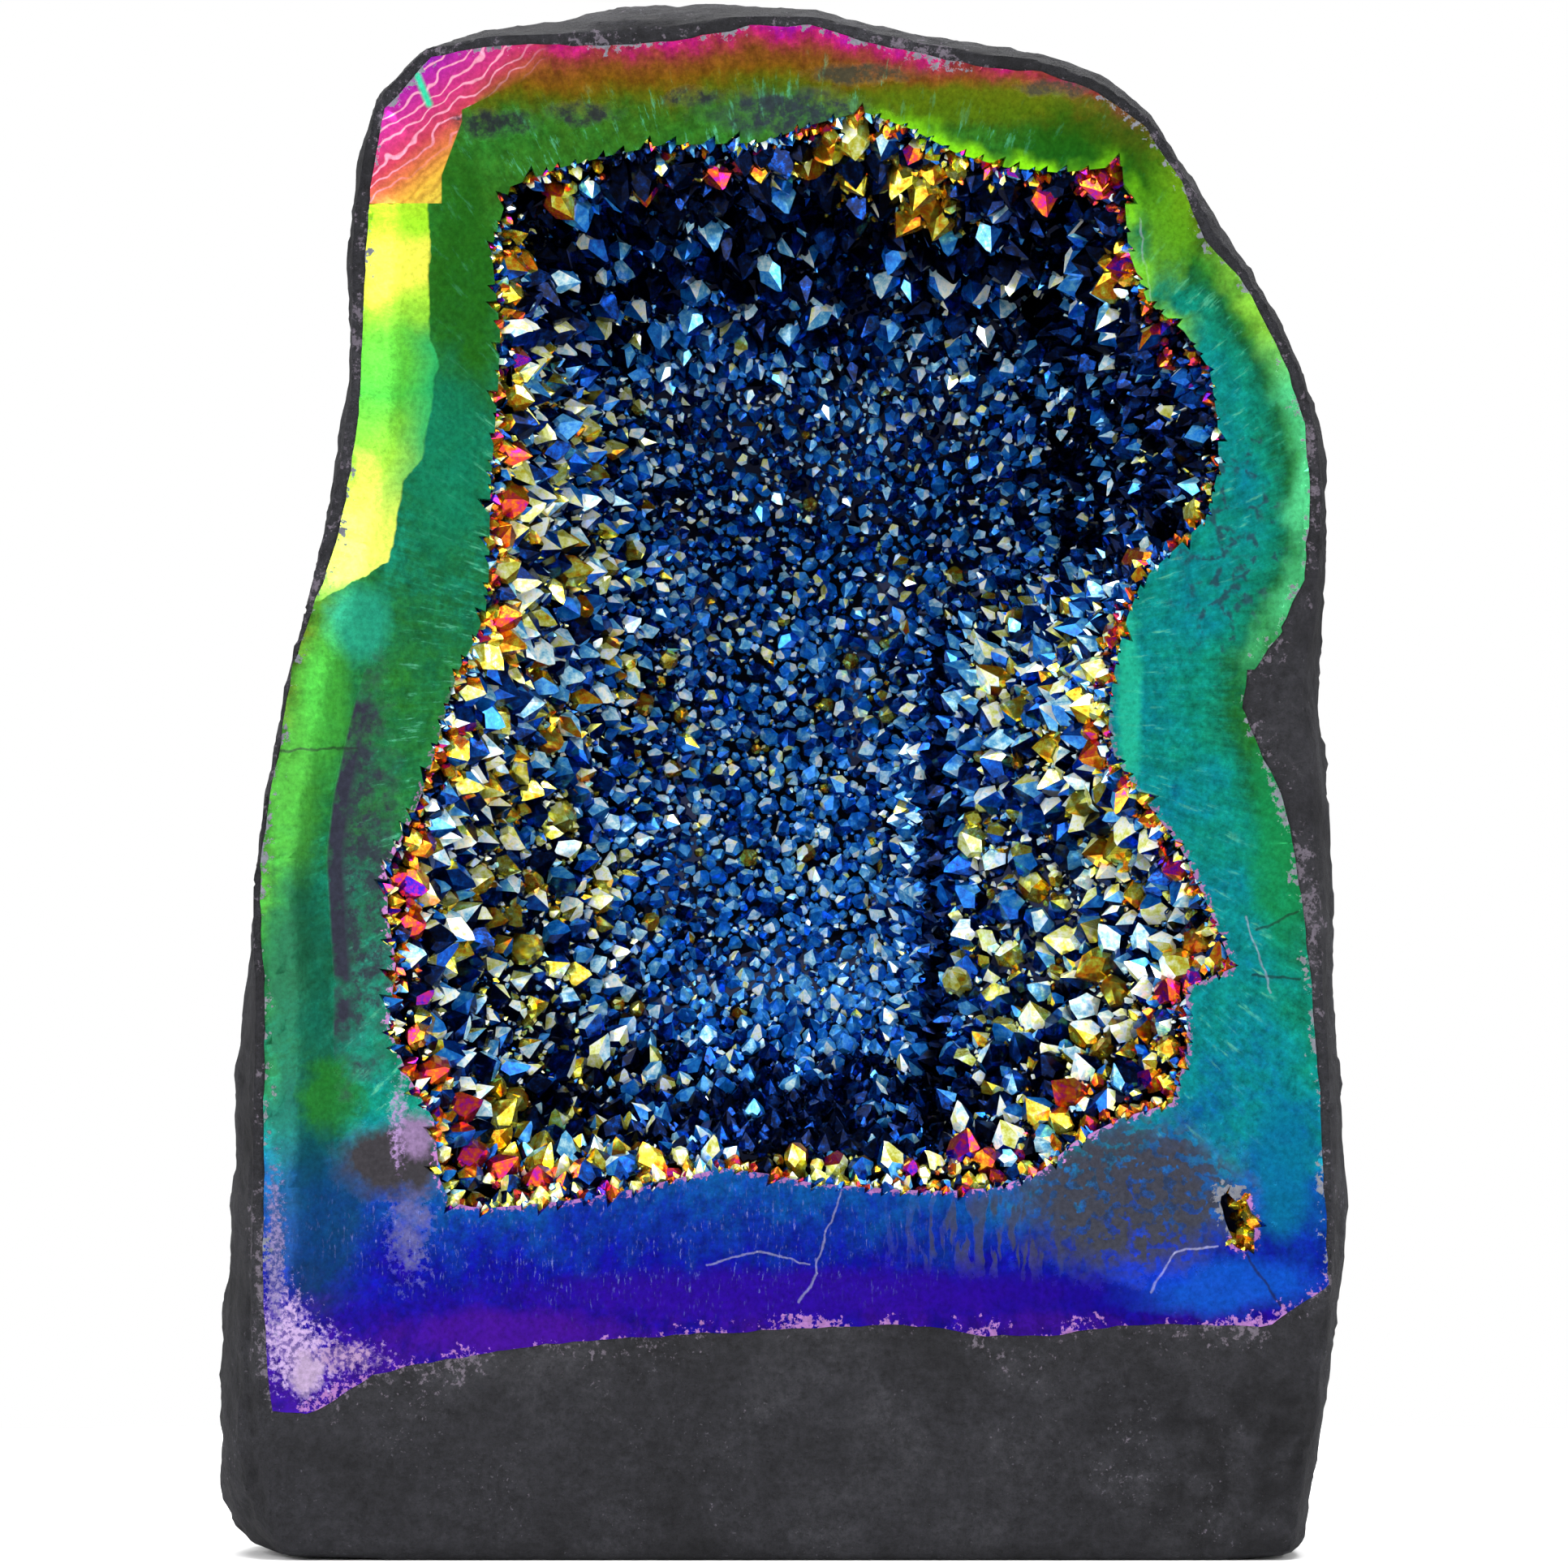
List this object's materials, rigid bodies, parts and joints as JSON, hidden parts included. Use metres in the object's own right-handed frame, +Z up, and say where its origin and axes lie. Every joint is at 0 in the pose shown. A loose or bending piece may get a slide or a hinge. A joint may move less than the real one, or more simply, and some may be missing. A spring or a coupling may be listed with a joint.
{
  "type": "rainbow coated cathedral geode",
  "caption": "Sawn geode that stands on its flat base: a rough basalt back, a polished quartz rim, and a deep hollow lined with quartz points under an iridescent metal film.",
  "frame": {"origin": "middle of the base of the bounding box, on the surface that the geode stands on", "axes": "+Z up, -Y out of the sawn and polished face towards the viewer, +X to the viewer's right"},
  "size_m": [0.1932, 0.112, 0.2627],
  "materials": {
    "basalt": "rough matt grey rock",
    "filmed_band": "polished quartz under a metal film that turns from magenta through green to violet",
    "filmed_points": "flat mirror-like crystal faces under a blue to gold metal film"
  },
  "bodies": {
    "root": {"basalt_rock": "basalt", "quartz_band": "filmed_band", "crystal_crust": "filmed_points"}
  },
  "joints": []
}
